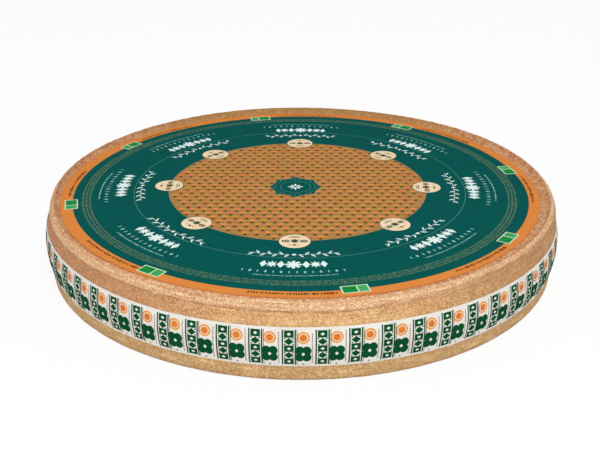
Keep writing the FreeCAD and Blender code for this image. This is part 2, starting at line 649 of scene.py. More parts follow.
@dataclass(frozen=True)
class WheelShape:
    """The wheel's sizes, and the unevenness that its side, rim and band follow."""

    radius: float = 339.8 * MM
    floor: float = 92.5 * MM
    lean: float = 3.2 * MM
    bulge: float = 5.7 * MM
    base_round: float = 4.5 * MM
    base_taper: float = 0.5 * MM
    rim_rise: float = 6.5 * MM
    rim_round: float = 7.5 * MM
    rim_slope: float = 4.0 * MM
    slope_sag: float = 0.35
    crease_drop: float = 8.0 * MM
    crease_height: float = 3.0 * MM
    wander: float = 1.0 * MM
    rim_tilt: float = 2.0 * MM
    rim_wander: float = 0.7 * MM
    band_bottom: float = 20.5 * MM
    band_width: float = 49.0 * MM

    @property
    def crease(self) -> float:
        """Returns the height of the press line."""
        return self.floor - self.crease_drop

    @property
    def side_top(self) -> float:
        """Returns the height of the press line's lower lip, where the side ends."""
        return self.crease - 0.5 * self.crease_height

    @property
    def foot(self) -> float:
        """Returns the height at which the rim starts to round over."""
        return self.crease + self.crease_height / 2

    @property
    def ridge_radius(self) -> float:
        """Returns the radius of the rim's ridge."""
        return self.radius - self.lean - self.rim_round

    @property
    def ridge(self) -> float:
        """Returns the mean height of the rim's ridge."""
        return self.floor + self.rim_rise

    def stray(self, angle: float) -> float:
        """Returns how far the outline strays outwards from its circle at an angle."""
        return self.wander * (0.65 * math.cos(2 * angle + 2.2) + 0.35 * math.cos(4 * angle + 0.9))

    def lift(self, angle: float) -> float:
        """Returns how far the ridge stands above its mean height at an angle."""
        small = 0.6 * math.sin(3 * angle + 0.5) + 0.4 * math.sin(5 * angle - 1.1)
        return self.rim_tilt * math.sin(angle) + self.rim_wander * small

    def side_radius(self, height: float) -> float:
        """Returns the side's mean radius at a height above the band's lower edge."""
        share = (height - self.band_bottom) / (self.side_top - self.band_bottom)
        return self.radius - self.lean * share + 4 * self.bulge * share * (1 - share)


# ---- The rind


@dataclass
class Rind:
    """The cheese itself: one closed skin, roughened where the cloth and the air worked on it."""

    shape: WheelShape
    finish: RindFinish = field(default_factory=RindFinish)
    segments: int = 1040
    spacing: float = 2.1 * MM
    thread: float = 1.4 * MM
    hub: float = 30.0 * MM
    sole_rings: tuple[float, ...] = (0.12, 0.24, 0.31)
    floor_rings: tuple[float, ...] = (0.31, 0.2)
    toe_margin: float = 2.0 * MM
    base_steps: int = 6
    rim_steps: int = 12
    slope_steps: int = 5
    smooth_degrees: float = 60.0
    crease_depth: float = 0.2 * MM
    lip: float = 0.25 * MM
    fuller: float = 2.4 * MM
    fuller_reach: float = 12.0 * MM
    edge_rise: float = 10.5 * MM
    round_within: float = 0.1
    uneven_beyond: float = 0.3
    skin_from: float = 0.325
    side_from: float = 0.331

    def build(self) -> None:
        """Builds and dresses the rind, which stands for the plain wheel."""
        skin = self._turn()
        self._shape(skin)
        self._roughen(skin)
        self._map_threads(skin)
        Bench.shade(self.smooth_degrees)
        deliver(skin, "rind", self.finish)
        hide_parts("wheel")

    def _profile(self) -> list[Flat]:
        """Lists the stations of the section, from the underside round to the floor.

        Returns:
            The radius and height of each.
        """
        shape = self.shape
        stations = [(radius, 0.0) for radius in self.sole_rings]
        edge = shape.radius - shape.base_taper - shape.base_round
        for cosine, sine in quarter(self.base_steps):
            stations.append((edge + shape.base_round * sine, shape.base_round * (1 - cosine)))
        stations += self._climb(stations[-1], (shape.radius, shape.band_bottom))
        tall = shape.side_top - shape.band_bottom
        rungs = round(tall / self.spacing)
        for rung in range(1, rungs + 1):
            height = shape.band_bottom + tall * rung / rungs
            stations.append((shape.side_radius(height), height))
        for share, depth in ((-0.22, 0.55), (0.0, 1.0), (0.22, 0.55)):
            radius = shape.side_radius(shape.side_top) - self.crease_depth * depth
            stations.append((radius, shape.crease + share * shape.crease_height))
        for cosine, sine in quarter(self.rim_steps):
            reach = shape.rim_round + self.lip * cosine * cosine
            height = shape.foot + (shape.ridge - shape.foot) * sine
            stations.append((shape.ridge_radius + reach * cosine, height))
        for step in range(1, self.slope_steps + 1):
            share = step / self.slope_steps
            sag = 4 * (0.5 - shape.slope_sag) * share * (1 - share)
            height = shape.floor + shape.rim_rise * max(0.0, 1 - share - sag)
            stations.append((shape.ridge_radius - shape.rim_slope * share, height))
        toe = shape.ridge_radius - shape.rim_slope - self.toe_margin
        return stations + [(radius, shape.floor) for radius in (toe, *self.floor_rings, self.hub)]

    def _climb(self, start: Flat, end: Flat) -> list[Flat]:
        """Lists evenly spaced stations up a straight slope.

        Args:
            start: The station below it, which isn't listed.
            end: The last station.

        Returns:
            The radius and height of each.
        """
        count = max(1, round(math.dist(start, end) / self.spacing))
        shares = [step / count for step in range(1, count + 1)]
        return [(start[0] + (end[0] - start[0]) * share, start[1] + (end[1] - start[1]) * share)
                for share in shares]

    def _turn(self) -> Piece:
        """Extrudes a circle ring by ring along the section, and closes it at the middle of the floor.

        Returns:
            The closed skin.
        """
        skin = Bench.circle(self.segments, self.hub)
        Bench.edit(skin)
        Bench.choose(skin, lambda place: place.length > 0.9 * self.hub, "EDGE")
        radius, height = self.hub, 0.0
        for next_radius, next_height in self._profile():
            rise = next_height - height
            bpy.ops.mesh.extrude_edges_move(TRANSFORM_OT_translate={"value": (0, 0, rise)})
            Bench.resize(next_radius / radius, next_radius / radius, next_height)
            radius, height = next_radius, next_height
        bpy.ops.mesh.extrude_edges_move(TRANSFORM_OT_translate={"value": (0, 0, 0)})
        bpy.ops.mesh.merge(type="CENTER")
        Bench.close()
        return skin

    def _shape(self, skin: Piece) -> None:
        """Moves the turned skin onto the uneven outline, and paints where each part of the rind lies.

        Args:
            skin: The turned skin.
        """
        masks: dict[str, list[float]] = {}
        for vertex in skin.data.vertices:
            x, y, height = vertex.co
            radius, angle = math.hypot(x, y), math.atan2(y, x)
            for name, share in self._shares(radius, height, angle).items():
                masks.setdefault(name, []).append(share)
            vertex.co = self._moved(radius, height, angle)
        for name, shares in masks.items():
            skin.data.attributes.new(name, "FLOAT", "POINT").data.foreach_set("value", shares)
        for name in ("rough", "pressed"):
            group = skin.vertex_groups.new(name=name)
            for index, share in enumerate(masks[name]):
                if share > 0.001:
                    group.add([index], share, "REPLACE")

    def _moved(self, radius: float, height: float, angle: float) -> Point:
        """Moves a place on the turned skin onto the uneven outline.

        Args:
            radius: Distance from the wheel's axis.
            height: Height above the underside.
            angle: Angle round the axis.

        Returns:
            Its new place.
        """
        shape = self.shape
        outside = radius >= shape.ridge_radius
        start, span = (shape.foot, shape.ridge - shape.foot) if outside else (shape.floor, shape.rim_rise)
        lifted = min(1.0, max(0.0, (height - start) / span))
        sway = ripple(angle, 2.2, 0.4) * 1.3 * MM + ripple(angle, 9, 2.4) * 0.7 * MM
        rise = lifted * shape.lift(angle) + sway * hump(height, shape.crease, 4 * MM) * outside
        reach = radius + shape.stray(angle) * smooth_share(radius, self.round_within, self.uneven_beyond)
        band_top = shape.band_bottom + shape.band_width
        high = smooth_share(height, band_top, band_top + self.fuller_reach)
        high *= smooth_share(radius, self.skin_from, self.side_from)
        reach += self.fuller * high * smooth_share(math.cos(angle), 0.3, 0.95)
        filled = hump(height, shape.crease, 3 * MM) * self._rise(angle) * (radius > self.side_from)
        reach += self.crease_depth * filled
        return (reach * math.cos(angle), reach * math.sin(angle), height + rise)

    def _rise(self, angle: float) -> float:
        """Returns how much of its way to the ridge the cloth's upper edge climbs at an angle."""
        return smooth_share(angle, -1.45, -0.85) * (1 - smooth_share(angle, 0.5, 1.2))

    def _shares(self, radius: float, height: float, angle: float) -> dict[str, float]:
        """Says how much a place belongs to each part of the rind.

        Args:
            radius: Distance from the wheel's axis, before it strays.
            height: Height above the underside.
            angle: Angle round the axis.

        Returns:
            A share from 0 to 1 for each named part.
        """
        shape = self.shape
        rise = self._rise(angle)
        ridge, crease = shape.ridge_radius, shape.crease + self.edge_rise * rise
        outer = smooth_share(radius, ridge - 1 * MM, ridge + 2 * MM)
        wavy, fine = ripple(angle, 5, 7.7), ripple(angle, 26, 1.7)
        top = 1.0 if height > 0.5 * shape.floor else 0.0
        inside = top * smooth_share(radius, 0.3205, 0.3255)
        over = smooth_share(height, crease - 1 * MM + fine * MM, crease + 1.2 * MM + fine * MM)
        past_ridge = math.hypot(radius - ridge - 2 * MM, 0.5 * (height - shape.ridge))
        slope = smooth_share(radius, ridge + (1.5 + 2.5 * wavy) * MM, ridge + (5.5 + 2.5 * wavy) * MM)
        left = smooth_share(-math.cos(angle), -0.05, 0.75)
        right = smooth_share(math.cos(angle), 0.15, 0.8)
        behind = 0.5 * smooth_share(math.sin(angle), -0.1, 0.8)
        return {
            "collar": top * max(over, 1 - outer),
            "slope": top * (1 - slope),
            # Where the painted highlight lies, just above the press line
            "lip": hump(height, crease + (5.5 - 3.0 * rise + 1.5 * fine) * MM, 5.0 * MM) * outer,
            "aged": top * smooth_share(math.sin(angle), 0.5, 0.95),
            # The left side, high up: partly redder rind, partly painted shade
            "left_redness_and_shade": left * smooth_share(height, 45 * MM, 64 * MM) * (1 - behind),
            # The right side, from 30 mm up: painted shade
            "right_side_shade": right * smooth_share(height, 30 * MM, 60 * MM),
            # The press line: partly its own colour, partly painted shade in the groove
            "crease": hump(height, crease + 0.2 * MM, 1.1 * MM) * outer * (1 - 0.75 * rise),
            "under": smooth_share(height, crease - 15 * MM, crease - 1 * MM) * outer * (1 - over),
            "low": 1 - smooth_share(height, 18 * MM, 46 * MM),
            "foot": 1 - smooth_share(height, 1 * MM, (7 + 3 * wavy) * MM),
            "weave": outer * (1 - 0.85 * over),
            "rough": inside * max(1 - outer, hump(past_ridge, 0.0, 7 * MM)),
            "pressed": smooth_share(radius, 0.31, 0.334),
        }

    def _roughen(self, skin: Piece) -> None:
        """Sinks the relief into the skin: broad hollows everywhere, lumps and flaking on the collar.

        Args:
            skin: The shaped skin.
        """
        reliefs = (
            ("hollows", "CLOUDS", 24 * MM, 0.6 * MM, "pressed", 2),
            ("lumps", "CLOUDS", 10 * MM, 0.9 * MM, "rough", 3),
            ("flakes", "MUSGRAVE", 3.4 * MM, 0.12 * MM, "rough", 0),
        )
        for name, kind, size, depth, group, layers in reliefs:
            texture = bpy.data.textures.new(name, kind)
            texture.noise_scale = size
            if layers:
                texture.noise_depth = layers
            relief = skin.modifiers.new(name, "DISPLACE")
            relief.texture = texture
            relief.texture_coords = "LOCAL"
            relief.direction = "NORMAL"
            relief.mid_level = 0.85
            relief.strength = depth
            relief.vertex_group = group
            bpy.ops.object.modifier_apply(modifier=name)

    def _map_threads(self, skin: Piece) -> None:
        """Lays a map over the skin that counts the cloth's threads round the wheel and up its side.

        Args:
            skin: The shaped skin.
        """
        threads_round = 2 * round(0.5 * FULL_TURN * self.shape.radius / self.thread)
        layer = skin.data.uv_layers.new(name=THREADS)
        angles, rises = [], []
        for vertex in skin.data.vertices:
            x, y, height = vertex.co
            angles.append(math.atan2(y, x))
            rises.append((height + (self.shape.radius - math.hypot(x, y))) / self.thread)
        for polygon in skin.data.polygons:
            corners = [angles[index] for index in polygon.vertices]
            crosses = max(corners) - min(corners) > math.pi
            for loop, index, angle in zip(polygon.loop_indices, polygon.vertices, corners):
                if crosses and angle < 0:
                    angle += FULL_TURN
                layer.data[loop].uv = (angle / FULL_TURN * threads_round, rises[index])


# ---- Print: plain ornaments, each modelled once as a stamp and pressed many times


class Motif(Enum):
    """The ornaments of the print."""

    BAR = "bar"
    LOZENGE = "lozenge"
    LEAF = "leaf"
    DISC = "disc"
    HOOP = "hoop"
    ROSETTE = "rosette"
    STAR = "star"
    PANEL = "panel"
    RULE = "rule"
    PLAQUE = "plaque"


CORNERS = {Motif.LOZENGE: 4, Motif.LEAF: 12, Motif.DISC: 18, Motif.HOOP: 28,
           Motif.ROSETTE: 32, Motif.STAR: 16, Motif.PLAQUE: 48}
CELLS = {Motif.BAR: (1, 1), Motif.PANEL: (3, 3), Motif.RULE: (1, 16)}
# Which corners of a disc are pulled in: of every so many, those numbered, and how far in they go
PULLS = {Motif.ROSETTE: ((4, (2,), 0.5),), Motif.STAR: ((2, (1,), 0.45),),
         Motif.PLAQUE: ((6, (1, 5), 0.9), (6, (2, 3, 4), 0.86))}


@dataclass(frozen=True)
class Stamp:
    """One ornament, two units wide and tall about its middle and one unit thick."""

    points: list[Point]
    faces: list[list[int]]

    @classmethod
    @cache
    def model(cls, motif: Motif) -> "Stamp":
        """Models an ornament with the bench's tools, the first time that it is asked for.

        Args:
            motif: Which ornament.

        Returns:
            Its stamp.
        """
        if motif in CORNERS:
            proof = Bench.circle(CORNERS[motif], 1, "NGON" if motif is Motif.HOOP else "TRIFAN")
        else:
            proof = Bench.grid(*CELLS[motif], 2)
        Bench.edit(proof)
        cls._cut(proof, motif)
        bpy.ops.mesh.select_mode(type="FACE")
        Bench.thicken(1)
        Bench.close()
        plate = proof.data
        points = [tuple(vertex.co) for vertex in plate.vertices]
        faces = [list(polygon.vertices) for polygon in plate.polygons]
        bpy.data.objects.remove(proof)
        bpy.data.meshes.remove(plate)
        return cls(points, faces)

    @staticmethod
    def _cut(proof: Piece, motif: Motif) -> None:
        """Cuts the plain disc on the bench to the ornament's outline.

        Args:
            proof: The plain disc, in edit mode.
            motif: Which ornament it becomes.
        """

        def corner(place: Vector) -> int:
            """Returns the number of a corner of the disc."""
            return round(math.atan2(place.x, place.y) / FULL_TURN * CORNERS[motif]) % CORNERS[motif]

        if motif is Motif.HOOP:
            bpy.ops.mesh.select_all(action="SELECT")
            bpy.ops.mesh.inset(thickness=0.2)
            Bench.choose(proof, lambda place: place.length < 0.85, "FACE")
            bpy.ops.mesh.delete(type="FACE")
        elif motif is Motif.DISC:
            bpy.ops.mesh.select_all(action="SELECT")
            bpy.ops.mesh.subdivide(number_cuts=1)
        elif motif is Motif.LEAF:
            Bench.choose(proof, lambda place: 0.6 < abs(place.x) < 0.95)
            Bench.resize(0.92, 0.72)
        for every, numbers, share in PULLS.get(motif, ()):
            Bench.choose(proof, lambda place: place.length > 0.97 and corner(place) % every in numbers)
            Bench.resize(share, share)


@dataclass(frozen=True)
class Size:
    """How large an ornament is pressed, half its width and half its height, and how far it is turned."""

    half_width: float
    half_height: float
    turn: float = 0.0


def mm(half_width: float, half_height: float, turn: float = 0.0) -> Size:
    """Returns a size that is given in millimetres."""
    return Size(half_width * MM, half_height * MM, turn)


class PrintRun:
    """One colour of print: copies of stamps pressed onto paper, each with its own points."""

    def __init__(self, name: str, ink: PaperFinish) -> None:
        """Starts a run with nothing pressed.

        Args:
            name: The name of the piece that it becomes.
            ink: The ink.
        """
        self.name = name
        self.ink = ink
        self.points: list[Point] = []
        self.faces: list[list[int]] = []

    def press(self, motif: Motif, size: Size, spot: Spot) -> None:
        """Presses one ornament.

        Args:
            motif: Which ornament.
            size: How large it is and how far it is turned.
            spot: Gives the place on the paper of a point of the stamp.
        """
        stamp = Stamp.model(motif)
        first = len(self.points)
        for x, y, z in stamp.points:
            self.points.append(spot(*turned(x * size.half_width, y * size.half_height, size.turn), z))
        self.faces += [[first + corner for corner in face] for face in stamp.faces]

    def piece(self) -> None:
        """Makes everything pressed into one finished piece."""
        mesh = bpy.data.meshes.new(self.name)
        mesh.from_pydata(self.points, [], self.faces)
        mesh.update()
        printed = bpy.data.objects.new(self.name, mesh)
        bpy.context.scene.collection.objects.link(printed)
        Bench.edit(printed)
        Bench.close()
        deliver(printed, self.name, self.ink)


# ---- The label on the top


@dataclass(frozen=True)
class LabelInks:
    """The label's paper and inks."""

    paper: PaperFinish = PaperFinish("orange_paper", tint(218, 134, 64), tint(208, 126, 62))
    green_field: PaperFinish = label_ink("green_field", tint(4, 84, 79), tint(8, 76, 73))
    line: PaperFinish = label_ink("teal_line", tint(74, 134, 122))
    middle: PaperFinish = label_ink("ochre_field", tint(180, 132, 80), tint(170, 122, 68))
    trellis: PaperFinish = label_ink("olive_line", tint(132, 112, 58))
    sprigs: PaperFinish = label_ink("moss_ink", tint(46, 66, 30))
    flame: PaperFinish = label_ink("flame_ink", tint(222, 136, 68))
    coral: PaperFinish = label_ink("coral_ink", tint(216, 118, 72))
    honey: PaperFinish = label_ink("honey_ink", tint(200, 142, 54))
    plaque: PaperFinish = label_ink("plaque_green", tint(4, 84, 79), tint(8, 76, 73))
    plaque_lines: PaperFinish = label_ink("plaque_line", tint(74, 134, 122))
    plaque_bloom: PaperFinish = label_ink("plaque_ground", tint(4, 84, 79), tint(8, 76, 73))
    plaque_flower: PaperFinish = label_ink("plaque_white", tint(222, 240, 236))
    medallion_rims: PaperFinish = label_ink("medallion_rim", tint(4, 84, 79))
    medallions: PaperFinish = label_ink("medallion_cream", tint(240, 216, 180), tint(230, 202, 164))
    medallion_marks: PaperFinish = label_ink("medallion_ink", tint(44, 66, 52))
    garlands: PaperFinish = label_ink("garland_white", tint(222, 240, 236))
    crests: PaperFinish = label_ink("crest_white", tint(222, 240, 236))
    beads: PaperFinish = label_ink("bead_mist", tint(150, 196, 192))
    gold_strokes: PaperFinish = label_ink("gold_stroke", tint(98, 122, 94))
    bronze_strokes: PaperFinish = label_ink("bronze_stroke", tint(70, 46, 22))
    tab_rims: PaperFinish = label_ink("tab_rim", tint(206, 222, 190))
    tab_fields: PaperFinish = label_ink("tab_green", tint(24, 138, 62), tint(20, 118, 56))
    tab_ends: PaperFinish = label_ink("tab_fresh_green", tint(70, 168, 96), tint(40, 146, 76))


@dataclass(frozen=True)
class Circle:
    """A circle on the label: its radius, and how far its centre is off the label's."""

    radius: float
    shift: Flat


@dataclass
class TopLabel:
    """The round label: orange paper, a green field, a patterned middle, and eight bearings of ornament.

    The print is in layers, and layer 0 is the paper. A stamp reaches down a little more than its own layer.
    """

    inks: LabelInks = field(default_factory=LabelInks)
    sectors: int = 8
    turn: float = math.radians(-1.0)
    layer: float = 0.05 * MM
    layers: int = 5
    sink: float = 1.4
    green: Circle = Circle(305.0 * MM, (1.2 * MM, -1.0 * MM))
    green_overlap: float = 8.0 * MM
    line: Circle = Circle(224.0 * MM, (0.0, 0.0))
    line_half_width: float = 0.45 * MM
    middle: Circle = Circle(174.5 * MM, (-3.0 * MM, -3.0 * MM))
    lattice_step: float = 14.2 * MM
    lattice_row: float = 12.0 * MM
    plaque: Circle = Circle(36.4 * MM, (-6.0 * MM, -4.6 * MM))
    plaque_edge: float = 0.6 * MM
    petals: int = 8
    medallions: Circle = Circle(175.5 * MM, (-3.0 * MM, -3.0 * MM))
    medallion_radius: float = 19.2 * MM
    medallion_edge: float = 0.9 * MM
    garlands: Circle = Circle(212.0 * MM, (-3.0 * MM, -3.0 * MM))
    crests: Circle = Circle(238.0 * MM, (-3.0 * MM, -3.0 * MM))
    beads: Circle = Circle(257.0 * MM, (-3.0 * MM, -3.0 * MM))
    stitches: Circle = Circle(266.2 * MM, (-3.0 * MM, -3.0 * MM))
    stitches_span: Flat = (-46.0 * MM, 92.0 * MM)
    gold_radii: tuple[float, ...] = (281.1 * MM, 285.6 * MM, 290.1 * MM)
    gold_shift: Flat = (-0.5 * MM, -1.2 * MM)
    gold_gap: float = 3.0 * MM
    bronze: Circle = Circle(310.4 * MM, (1.2 * MM, -1.0 * MM))
    bronze_turn: float = math.radians(-0.7)
    bronze_span: Flat = (-49.0 * MM, 94.0 * MM)
    tabs: Circle = Circle(303.0 * MM, (-2.0 * MM, -3.3 * MM))
    tab_turn: float = math.radians(12.9)
    tab_half_width: float = 15.8 * MM
    tab_half_height: float = 8.5 * MM
    tab_rim: float = 1.6 * MM
    tab_shares: Flat = (0.60, 0.40)

    def __post_init__(self) -> None:
        """Takes the label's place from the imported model."""
        low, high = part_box("top_label")
        self.centre = 0.5 * (low[0] + high[0])
        self.radius = 0.5 * (high[0] - low[0])
        self.bottom = low[2]
        self.paper = high[2] - self.layers * self.layer

    def build(self) -> None:
        """Builds the paper and every layer of print."""
        inks, half = self.inks, self.line_half_width
        paper = self._field("label_paper", inks.paper, Circle(self.radius, (0.0, 0.0)), 0, self.bottom)
        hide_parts("top_label")
        inner = self.middle.radius - self.green_overlap
        self._field("label_green_field", inks.green_field, self.green, 1, inner=inner)
        outer = Circle(self.line.radius + half, self.line.shift)
        self._field("label_line", inks.line, outer, 2, inner=self.line.radius - half)
        self._middle()
        self._cartouche()
        self._medallions()
        self._garlands()
        self._crests()
        self._stitching()
        self._tabs()

    def _top(self, layer: float) -> float:
        """Returns the height of a layer's face, or of a place between two."""
        return self.paper + layer * self.layer

    def _field(
        self, name: str, ink: PaperFinish, circle: Circle, layer: int, bottom: float | None = None,
        corners: int = 300, inner: float = 0.0
    ) -> Piece:
        """Models and dresses a flat round field, or a ring.

        Args:
            name: The piece's name.
            ink: Its finish.
            circle: Its edge.
            layer: The layer that its face is in.
            bottom: The height of its underside, if it doesn't reach down just as far as a stamp.
            corners: How many corners its edge has.
            inner: A ring's inner radius.

        Returns:
            The finished piece.
        """
        if bottom is None:
            bottom = self._top(layer - self.sink)
        x, y = self.centre + circle.shift[0], circle.shift[1]
        disc = Bench.circle(corners, circle.radius, "NGON" if inner else "TRIFAN", (x, y, bottom))
        Bench.edit(disc)
        if inner:
            bpy.ops.mesh.select_all(action="SELECT")
            bpy.ops.mesh.inset(thickness=(circle.radius - inner) * math.cos(math.pi / corners))
            limit = 0.5 * (circle.radius + inner)
            Bench.choose(disc, lambda place: math.hypot(place.x - x, place.y - y) < limit, "FACE")
            bpy.ops.mesh.delete(type="FACE")
        Bench.thicken(self._top(layer) - bottom)
        Bench.close()
        Bench.shade()
        return deliver(disc, name, ink)

    def _spot(self, layer: float, shift: Flat, where: Callable[[float, float], Flat]) -> Spot:
        """Finds the spot for an ornament.

        Args:
            layer: The layer that its face is in.
            shift: How far the circle that it stands on is off the label's centre.
            where: Gives the place of a point of the ornament about that circle's centre.

        Returns:
            The spot.
        """

        def spot(x: float, y: float, z: float) -> Point:
            """Returns the place of one point of a stamp, whose back is at 0 and whose face is at 1."""
            across, back = where(x, y)
            return (self.centre + shift[0] + across, shift[1] + back, self._top(layer - (1 - z) * self.sink))

        return spot

    def _row(self, circle: Circle, bearing: float, along: float, layer: int = 2) -> Spot:
        """Returns the spot for an ornament in a curved row, upright to a reader outside the label."""
        radius = circle.radius
        return self._spot(
            layer, circle.shift, lambda x, y: turned(radius - y, 0.0, bearing + (along + x) / radius))

    def _flat(self, circle: Circle, bearing: float, x0: float, y0: float, layer: float) -> Spot:
        """Returns the spot for an ornament on a medallion or tab, which keeps its straight lines."""
        radius = circle.radius
        return self._spot(layer, circle.shift, lambda x, y: turned(radius - (y + y0), x + x0, bearing))

    def _node(self, x0: float, y0: float, layer: float) -> Spot:
        """Returns the spot for an ornament at a place about the centre of the patterned middle."""
        return self._spot(layer, self.middle.shift, lambda x, y: (x0 + x, y0 + y))

    def _petal(self, turn: float, out: float, layer: float) -> Spot:
        """Returns the spot for an ornament on the plaque, so far out and upright at an angle."""
        return self._spot(layer, self.plaque.shift, lambda x, y: turned(out + y, -x, turn))

    def _bearings(self, offset: float = 0.0) -> list[float]:
        """Returns the bearings of the sectors, the first towards the front."""
        first = -0.5 * math.pi + self.turn + offset
        return [first + FULL_TURN * sector / self.sectors for sector in range(self.sectors)]

    def _lattice(self) -> list[Flat]:
        """Lists the nodes of the middle's lattice, in rows that are set half a step apart.

        Returns:
            Their places about the centre of the middle.
        """
        nodes = []
        rows = int(self.middle.radius / self.lattice_row) + 1
        columns = int(self.middle.radius / self.lattice_step) + 1
        for row in range(-rows, rows + 1):
            for column in range(-columns, columns + 1):
                x, y = (column + 0.5 * (row % 2)) * self.lattice_step, row * self.lattice_row
                if math.hypot(x, y) < self.middle.radius - 3 * MM:
                    nodes.append((x, y))
        return nodes

    def _middle(self) -> None:
        """Builds the patterned middle: its field, its trellis of thin lines and the sprigs at its nodes."""
        self._field("label_middle", self.inks.middle, self.middle, 2, self._top(0), 240)
        trellis = PrintRun("label_trellis", self.inks.trellis)
        lean = math.atan2(self.lattice_row, 0.5 * self.lattice_step)
        gap = self.lattice_step * math.sin(lean)
        # Each set of lines is a little lower than the last, so that no two faces lie in one plane
        for direction, pitch, layer in ((0.0, self.lattice_row, 3), (lean, gap, 2.9), (-lean, gap, 2.8)):
            self._lines(trellis, direction, pitch, layer)
        trellis.piece()
        sprigs = PrintRun("label_sprigs", self.inks.sprigs)
        lights = {name: PrintRun(f"label_{name}_lights", getattr(self.inks, name))
                  for name in ("flame", "coral", "honey")}
        chance = random.Random(31)
        for x, y in self._lattice():
            for turn, half, drop in ((0.0, 2.7, 0.0), (0.9, 1.9, -0.9), (-0.9, 1.9, -0.9)):
                sprigs.press(Motif.LEAF, mm(0.85, half, turn), self._node(x, y + drop * MM, 4))
            sprigs.press(Motif.LEAF, mm(3.3, 0.55), self._node(x, y - 0.6 * MM, 4))
            if math.hypot(x, y + 0.5 * self.lattice_row) < self.middle.radius - 5 * MM:
                light = lights[chance.choice(("flame", "flame", "flame", "coral", "honey"))]
                light.press(Motif.LOZENGE, mm(5.2, 4.2), self._node(x, y + 0.52 * self.lattice_row, 3))
        for run in (sprigs, *lights.values()):
            run.piece()

    def _lines(self, trellis: PrintRun, direction: float, pitch: float, layer: float) -> None:
        """Presses one set of parallel lines across the middle.

        Args:
            trellis: The run of print that they join.
            direction: The angle that they run at.
            pitch: The distance between them.
            layer: The layer of their ink.
        """
        edge = self.middle.radius - 1.0 * MM
        count = int(edge / pitch)
        for number in range(-count, count + 1):
            offset = number * pitch
            half = math.sqrt(max(0.0, edge * edge - offset * offset))
            if half >= 4 * MM:
                spot = self._spot(layer, self.middle.shift, lambda x, y: turned(x, y + offset, direction))
                trellis.press(Motif.BAR, Size(half, 0.5 * MM), spot)

    def _cartouche(self) -> None:
        """Builds the pointed green plaque in the middle, with its ring, leaves and flower."""
        plaque = PrintRun("label_plaque", self.inks.plaque)
        rings = PrintRun("label_plaque_lines", self.inks.plaque_lines)
        bloom = PrintRun("label_plaque_bloom", self.inks.plaque_bloom)
        flower = PrintRun("label_plaque_flower", self.inks.plaque_flower)
        for run, edge, layer in ((rings, self.plaque_edge, 4.2), (plaque, -self.plaque_edge, 4.4)):
            size = self.plaque.radius + edge
            run.press(Motif.PLAQUE, Size(size, size), self._petal(0, 0, layer))
        for point in range(self.sectors):
            turn = FULL_TURN * point / self.sectors
            rings.press(Motif.LEAF, mm(2.6, 0.9, QUARTER_TURN), self._petal(turn, 28.5 * MM, 5))
            for side in (-1, 1):
                spot = self._petal(turn - 0.2 * side, 26.6 * MM, 5)
                rings.press(Motif.LEAF, mm(3.4, 0.6, 0.35 * side), spot)
        rings.press(Motif.HOOP, mm(21, 21), self._petal(0, 0, 4.8))
        bloom.press(Motif.DISC, mm(20.2, 20.2), self._petal(0, 0, 5.0))
        for petal in range(self.petals):
            reach = 6.2 * MM if petal % 2 else 7.6 * MM
            spot = self._petal(FULL_TURN * petal / self.petals, 0.85 * reach, 5.5)
            flower.press(Motif.LEAF, Size(0.6 * reach, 1.5 * MM, QUARTER_TURN), spot)
        for run in (plaque, rings, bloom, flower):
            run.piece()

    def _medallions(self) -> None:
        """Builds the cream medallions, one to a bearing, and the plain ornament on each."""
        rims = PrintRun("label_medallion_rims", self.inks.medallion_rims)
        discs = PrintRun("label_medallions", self.inks.medallions)
        marks = PrintRun("label_medallion_marks", self.inks.medallion_marks)
        size = self.medallion_radius
        rim = size + self.medallion_edge
        for bearing in self._bearings():
            at = partial(self._flat, self.medallions, bearing)
            rims.press(Motif.DISC, Size(rim, rim), at(0, 0, 4.1))
            discs.press(Motif.DISC, Size(size, size), at(0, 0, 4.5))
            marks.press(Motif.ROSETTE, mm(5.2, 5.2), at(0, 0.6 * MM, 5))
            for side in (-1, 1):
                for step in range(3):
                    out = side * ((8.2 + 3.1 * step) * MM)
                    for lean, height in ((side, 1.6), (-side, -1.2)):
                        leaf = mm(3.6 - 0.7 * step, 1.0, lean * 0.95)
                        marks.press(Motif.LEAF, leaf, at(out, height * MM, 5))
                marks.press(Motif.LOZENGE, mm(1.5, 1.1), at(side * 5.4 * MM, -10.2 * MM, 5))
            marks.press(Motif.LOZENGE, mm(3.0, 2.2), at(0, -10.6 * MM, 5))
            marks.press(Motif.BAR, mm(7.5, 0.55), at(0, 10.8 * MM, 5))
            marks.press(Motif.BAR, mm(5.0, 0.55), at(0, 13.6 * MM, 5))
        for run in (rims, discs, marks):
            run.piece()

    def _garlands(self) -> None:
        """Builds the thin leafy garland inside the line, one to a bearing."""
        run = PrintRun("label_garlands", self.inks.garlands)
        circle = self.garlands
        for bearing in self._bearings():
            run.press(Motif.STAR, mm(3.6, 3.6), self._row(circle, bearing, 0))
            for side in (-1, 1):
                for step in range(7):
                    out = side * (8.5 + 7.0 * step) * MM
                    swing = 1 if step % 2 else -1
                    rise = 3.4 * swing * MM
                    stem = self._row(circle, bearing, out)
                    raised = Circle(circle.radius - rise, circle.shift)
                    leaf = self._row(raised, bearing, out * (1 - rise / circle.radius))
                    run.press(Motif.BAR, mm(3.0, 0.38, side * 0.22 * swing), stem)
                    run.press(Motif.LEAF, mm(4.4, 1.15, side * 0.85 * swing), leaf)
        run.piece()

